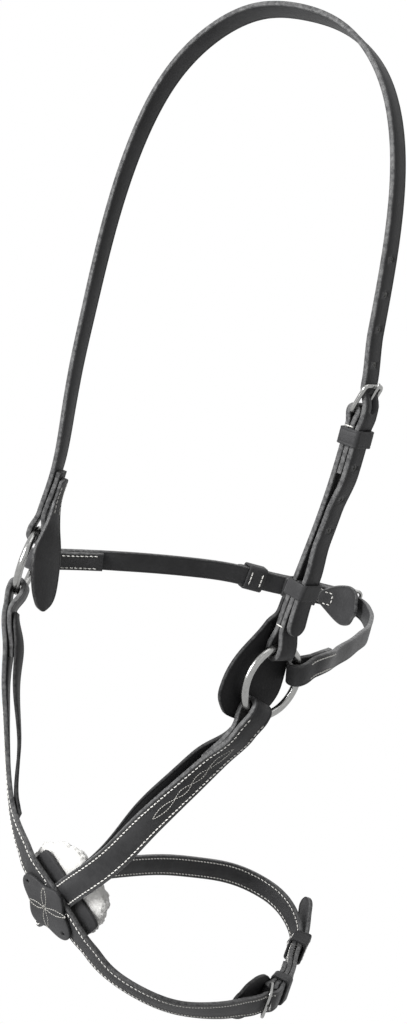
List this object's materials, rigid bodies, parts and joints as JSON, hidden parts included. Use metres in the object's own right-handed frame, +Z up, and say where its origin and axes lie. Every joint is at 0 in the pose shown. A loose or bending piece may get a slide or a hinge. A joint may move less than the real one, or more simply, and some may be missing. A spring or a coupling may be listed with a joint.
{
  "type": "noseband",
  "caption": "Crossed noseband of black stitched leather straps, with wire rings, buckles and a fleece pad on the nose.",
  "frame": {"origin": "middle of the headpiece strap at the poll, where it lies over the horse's head behind the ears", "axes": "+Z up along the hanging noseband, +X to the horse's near (left) side, -Y to the front of the nose"},
  "size_m": [0.2484, 0.2932, 0.6689],
  "materials": {
    "leather": "satin",
    "steel": "polished",
    "fleece": "matte"
  },
  "bodies": {
    "noseband": {"cheek_keeper": "leather", "cheek_strap": "leather", "chin_buckle_guard": "leather", "chin_keeper": "leather", "chin_wide_keeper": "leather", "fleece_pad": "fleece", "headpiece_strap": "leather", "jaw_billet_strap": "leather", "jaw_buckle_guard": "leather", "jaw_keeper": "leather", "jaw_strap": "leather", "near_nose_lining": "leather", "near_nose_strap": "leather", "near_ring_guard": "leather", "nose_backing": "leather", "nose_patch": "leather", "off_nose_lining": "leather", "off_nose_strap": "leather", "off_ring_guard": "leather"},
    "near_ring": {"near_ring": "steel"},
    "off_ring": {"off_ring": "steel"},
    "cheek_buckle": {"cheek_buckle_frame": "steel"},
    "cheek_tongue": {"cheek_buckle_tongue": "steel"},
    "jaw_buckle": {"jaw_buckle_frame": "steel"},
    "jaw_tongue": {"jaw_buckle_tongue": "steel"},
    "chin_buckle": {"chin_buckle_frame": "steel"},
    "chin_tongue": {"chin_buckle_tongue": "steel"},
    "cheek_runner": {"cheek_runner_keeper": "leather"},
    "jaw_runner": {"jaw_wide_keeper": "leather"}
  },
  "joints": [
    {"name": "near_ring_turn", "type": "hinge", "parent": "noseband", "child": "near_ring", "pos_m": [0.105, 0, -0.382], "axis": [0.9903, -0.1392, 0], "continuous": true},
    {"name": "off_ring_turn", "type": "hinge", "parent": "noseband", "child": "off_ring", "pos_m": [-0.105, 0, -0.382], "axis": [-0.8734, -0.4841, 0.0523], "continuous": true},
    {"name": "cheek_buckle_swing", "type": "hinge", "parent": "noseband", "child": "cheek_buckle", "pos_m": [0.1123, 0, -0.21035], "axis": [-0.0215, 0.9998, -0.001], "range_deg": [0, 5]},
    {"name": "cheek_tongue_swing", "type": "hinge", "parent": "cheek_buckle", "child": "cheek_tongue", "pos_m": [0.1123, 0, -0.21035], "axis": [-0.0215, 0.9998, -0.001], "range_deg": [0, 8]},
    {"name": "jaw_buckle_swing", "type": "hinge", "parent": "noseband", "child": "jaw_buckle", "pos_m": [-0.00965, 0.23386, -0.38501], "axis": [-0.0021, -0.0004, 1], "range_deg": [0, 5]},
    {"name": "jaw_tongue_swing", "type": "hinge", "parent": "jaw_buckle", "child": "jaw_tongue", "pos_m": [-0.00965, 0.23386, -0.38501], "axis": [-0.0021, -0.0004, 1], "range_deg": [0, 8]},
    {"name": "chin_buckle_swing", "type": "hinge", "parent": "noseband", "child": "chin_buckle", "pos_m": [0.07347, 0.1564, -0.64967], "axis": [0.0435, 0.0367, 0.9984], "range_deg": [0, 5]},
    {"name": "chin_tongue_swing", "type": "hinge", "parent": "chin_buckle", "child": "chin_tongue", "pos_m": [0.07347, 0.1564, -0.64967], "axis": [0.0435, 0.0367, 0.9984], "range_deg": [0, 8]},
    {"name": "cheek_runner_slide", "type": "slide", "parent": "noseband", "child": "cheek_runner", "axis": [0.1035, 0, 0.9946], "range_m": [0, 0.016]},
    {"name": "jaw_runner_slide", "type": "slide", "parent": "noseband", "child": "jaw_runner", "axis": [-0.4603, -0.8812, 0.108], "range_m": [-0.01, 0.007]}
  ]
}
